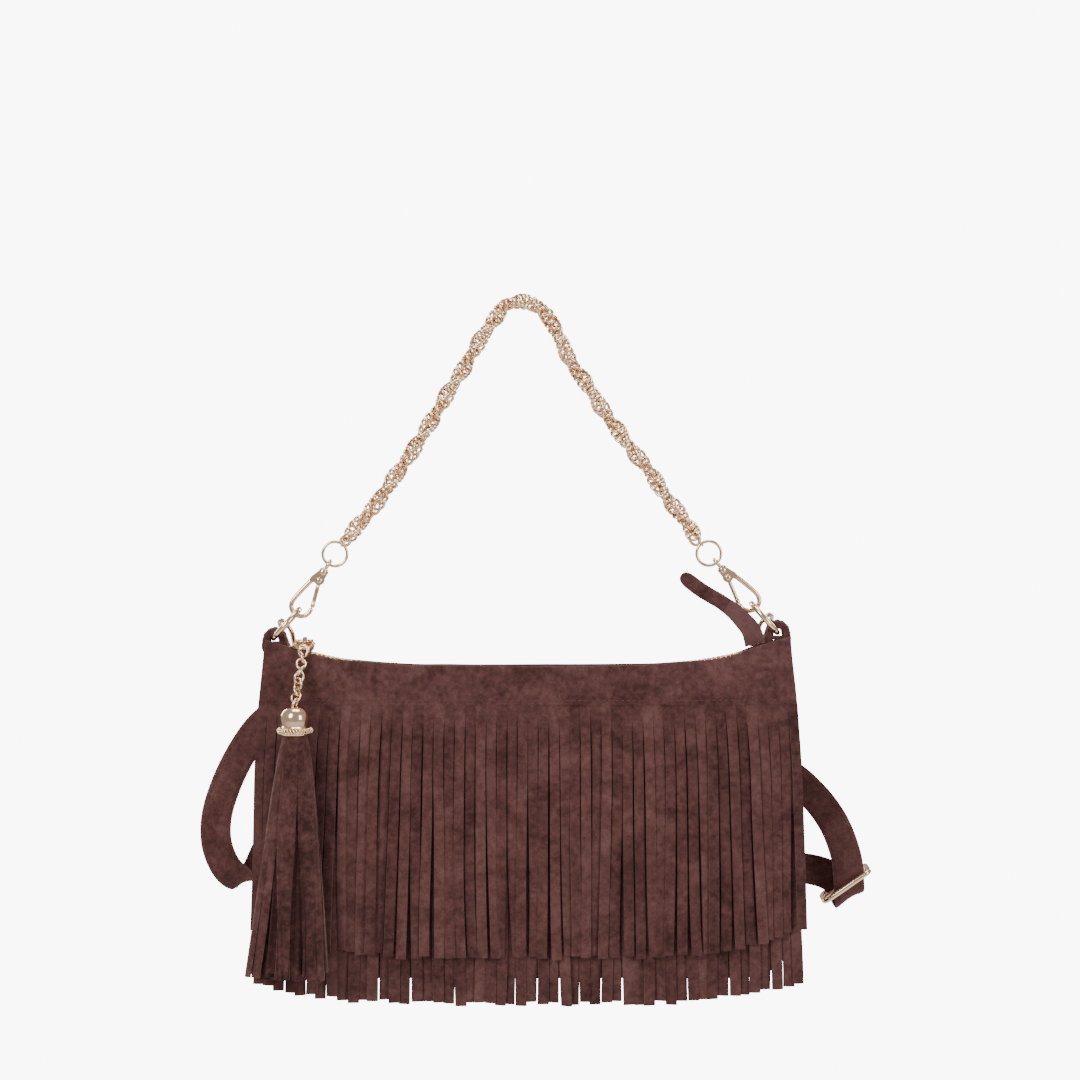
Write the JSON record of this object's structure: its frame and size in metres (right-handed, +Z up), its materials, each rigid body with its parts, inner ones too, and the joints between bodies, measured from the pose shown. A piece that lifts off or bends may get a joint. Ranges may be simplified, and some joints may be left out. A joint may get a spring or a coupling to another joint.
{
  "type": "fringed suede shoulder bag",
  "caption": "Zip-top suede shoulder bag with tiered cut fringe, rope-chain handle on swivel hooks, tassel zip puller and adjustable clip-on strap.",
  "frame": {"origin": "the point that the chain handle hangs from, on the chain's centreline at its highest point", "axes": "+Z up, +X to the right of the fringed front, +Y to the back of the bag"},
  "size_m": [0.352, 0.0995, 0.3606],
  "materials": {
    "suede": "matt brushed suede",
    "suede_fringe": "matt suede, cut edges",
    "suede_strap": "matt suede strap, edge stitched",
    "lining_cloth": "plain woven lining",
    "zip_tape": "woven tape",
    "gold_metal": "polished pale gold plating"
  },
  "bodies": {
    "handle": {"rope_chain": "gold_metal", "oring_left": "gold_metal", "oring_right": "gold_metal", "hook_left_eye": "gold_metal", "hook_right_eye": "gold_metal"},
    "hook_left": {"hook_left_body": "gold_metal", "hook_left_rivet": "gold_metal"},
    "gate_left": {"hook_left_gate": "gold_metal"},
    "hook_right": {"hook_right_body": "gold_metal", "hook_right_rivet": "gold_metal"},
    "gate_right": {"hook_right_gate": "gold_metal"},
    "bag": {"front_panel": "suede", "back_panel": "suede", "gusset": "suede", "front_band": "suede", "back_band": "suede", "lining": "lining_cloth", "fringe_upper": "suede_fringe", "fringe_lower": "suede_fringe", "tab_left": "suede", "tab_right": "suede", "zip_tape_front": "zip_tape", "zip_tape_back": "zip_tape", "zip_teeth": "gold_metal", "zip_stop_left": "gold_metal", "zip_stop_right": "gold_metal", "zip_tail": "zip_tape", "zip_end_tab": "suede", "strap": "suede_strap", "buckle_frame": "gold_metal", "buckle_bar": "gold_metal", "strap_hook_left_eye": "gold_metal", "strap_hook_right_eye": "gold_metal"},
    "ring_left": {"ring_left": "gold_metal"},
    "ring_right": {"ring_right": "gold_metal"},
    "strap_hook_left": {"strap_hook_left_body": "gold_metal", "strap_hook_left_rivet": "gold_metal"},
    "strap_gate_left": {"strap_hook_left_gate": "gold_metal"},
    "strap_hook_right": {"strap_hook_right_body": "gold_metal", "strap_hook_right_rivet": "gold_metal"},
    "strap_gate_right": {"strap_hook_right_gate": "gold_metal"},
    "slider": {"zip_slider": "gold_metal"},
    "puller": {"puller_ring": "gold_metal"},
    "tassel": {"tassel_chain": "gold_metal", "tassel_cap": "gold_metal", "tassel_skirt": "suede_fringe"}
  },
  "joints": [
    {"name": "bag_swing", "type": "hinge", "parent": "handle", "child": "bag", "pos_m": [-0.0013, 0, -0.15582], "axis": [0.9999, 0, 0.0129], "range_deg": [-15, 15]},
    {"name": "hook_left_swivel", "type": "hinge", "parent": "handle", "child": "hook_left", "pos_m": [-0.10426, 0, -0.13649], "axis": [0.5432, 0, 0.8396], "range_deg": [-12, 12]},
    {"name": "hook_left_gate_open", "type": "hinge", "parent": "hook_left", "child": "gate_left", "pos_m": [-0.10723, 0, -0.14219], "axis": [0, 1, 0], "range_deg": [0, 25], "stiffness_Nm_per_rad": 0.02, "springref_deg": -17.19},
    {"name": "ring_left_tilt", "type": "hinge", "parent": "bag", "child": "ring_left", "pos_m": [-0.1309, 0, -0.1721], "axis": [0, 1, 0], "range_deg": [-2, 2]},
    {"name": "strap_hook_left_swivel", "type": "hinge", "parent": "bag", "child": "strap_hook_left", "pos_m": [-0.12228, 0.02451, -0.18605], "axis": [0.1507, 0.6027, -0.7836], "range_deg": [-10, 10]},
    {"name": "strap_hook_left_gate_open", "type": "hinge", "parent": "strap_hook_left", "child": "strap_gate_left", "pos_m": [-0.12365, 0.02104, -0.18082], "axis": [0.7259, 0.4706, 0.5016], "range_deg": [0, 25], "stiffness_Nm_per_rad": 0.02, "springref_deg": -17.19},
    {"name": "hook_right_swivel", "type": "hinge", "parent": "handle", "child": "hook_right", "pos_m": [0.09902, 0, -0.13546], "axis": [-0.6494, 0, 0.7604], "range_deg": [-12, 12]},
    {"name": "hook_right_gate_open", "type": "hinge", "parent": "hook_right", "child": "gate_right", "pos_m": [0.10272, 0, -0.14072], "axis": [0, -1, 0], "range_deg": [0, 25], "stiffness_Nm_per_rad": 0.02, "springref_deg": -17.19},
    {"name": "ring_right_tilt", "type": "hinge", "parent": "bag", "child": "ring_right", "pos_m": [0.1283, 0, -0.1691], "axis": [0, 1, 0], "range_deg": [-2, 2]},
    {"name": "strap_hook_right_swivel", "type": "hinge", "parent": "bag", "child": "strap_hook_right", "pos_m": [0.11968, 0.02451, -0.18305], "axis": [-0.1507, 0.6027, -0.7836], "range_deg": [-10, 10]},
    {"name": "strap_hook_right_gate_open", "type": "hinge", "parent": "strap_hook_right", "child": "strap_gate_right", "pos_m": [0.12024, 0.02027, -0.17826], "axis": [-0.7259, 0.4706, 0.5016], "range_deg": [0, 25], "stiffness_Nm_per_rad": 0.02, "springref_deg": -17.19},
    {"name": "zip_slide", "type": "slide", "parent": "bag", "child": "slider", "axis": [1, 0, 0], "range_m": [0, 0.2]},
    {"name": "puller_lift", "type": "hinge", "parent": "slider", "child": "puller", "pos_m": [-0.1145, -0.0036, -0.1734], "axis": [-1, 0, 0], "range_deg": [0, 80]},
    {"name": "tassel_swing", "type": "hinge", "parent": "puller", "child": "tassel", "pos_m": [-0.1145, -0.0134, -0.1762], "axis": [0, 1, 0], "range_deg": [-15, 15]}
  ]
}
